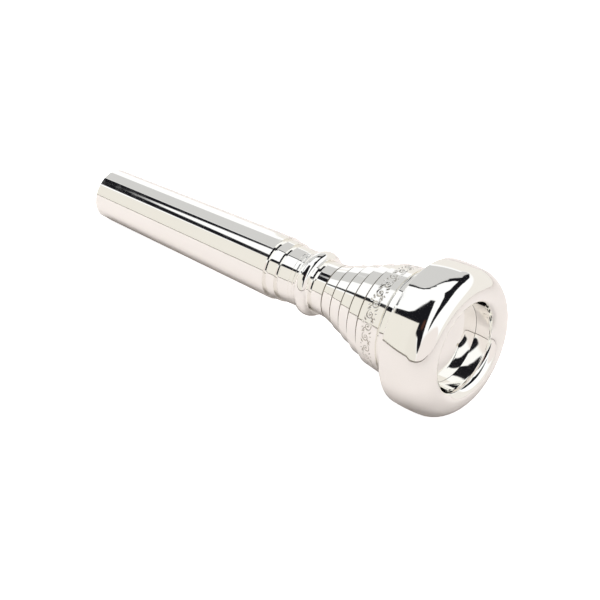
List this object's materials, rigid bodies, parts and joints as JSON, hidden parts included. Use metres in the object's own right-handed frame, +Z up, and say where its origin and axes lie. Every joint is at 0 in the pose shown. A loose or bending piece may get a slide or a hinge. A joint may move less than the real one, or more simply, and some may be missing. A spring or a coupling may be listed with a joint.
{
  "type": "trumpet mouthpiece",
  "caption": "Turned brass trumpet mouthpiece with a screw rim, a stepped cup and a tapered shank, mirror polished and silver plated.",
  "frame": {"origin": "on the air way's axis, at the middle of the shank's small end face, where the air leaves", "axes": "+X along the air way from the shank's small end to the rim that the lips rest on; +Z up; the body is turned about +X"},
  "size_m": [0.0873, 0.0278, 0.0278],
  "materials": {
    "backbore_plate": "silver plated, mirror polished",
    "cup_plate": "silver plated, mirror polished, engraved band",
    "rim_plate": "silver plated, mirror polished"
  },
  "bodies": {
    "backbore": {"backbore_shank": "backbore_plate"},
    "cup": {"cup_body": "cup_plate"},
    "rim": {"screw_rim": "rim_plate"}
  },
  "joints": [
    {"name": "cup_unscrew", "type": "slide", "parent": "backbore", "child": "cup", "axis": [1, 0, 0], "range_m": [0, 0.012]},
    {"name": "rim_unscrew", "type": "slide", "parent": "cup", "child": "rim", "axis": [1, 0, 0], "range_m": [0, 0.008]}
  ]
}
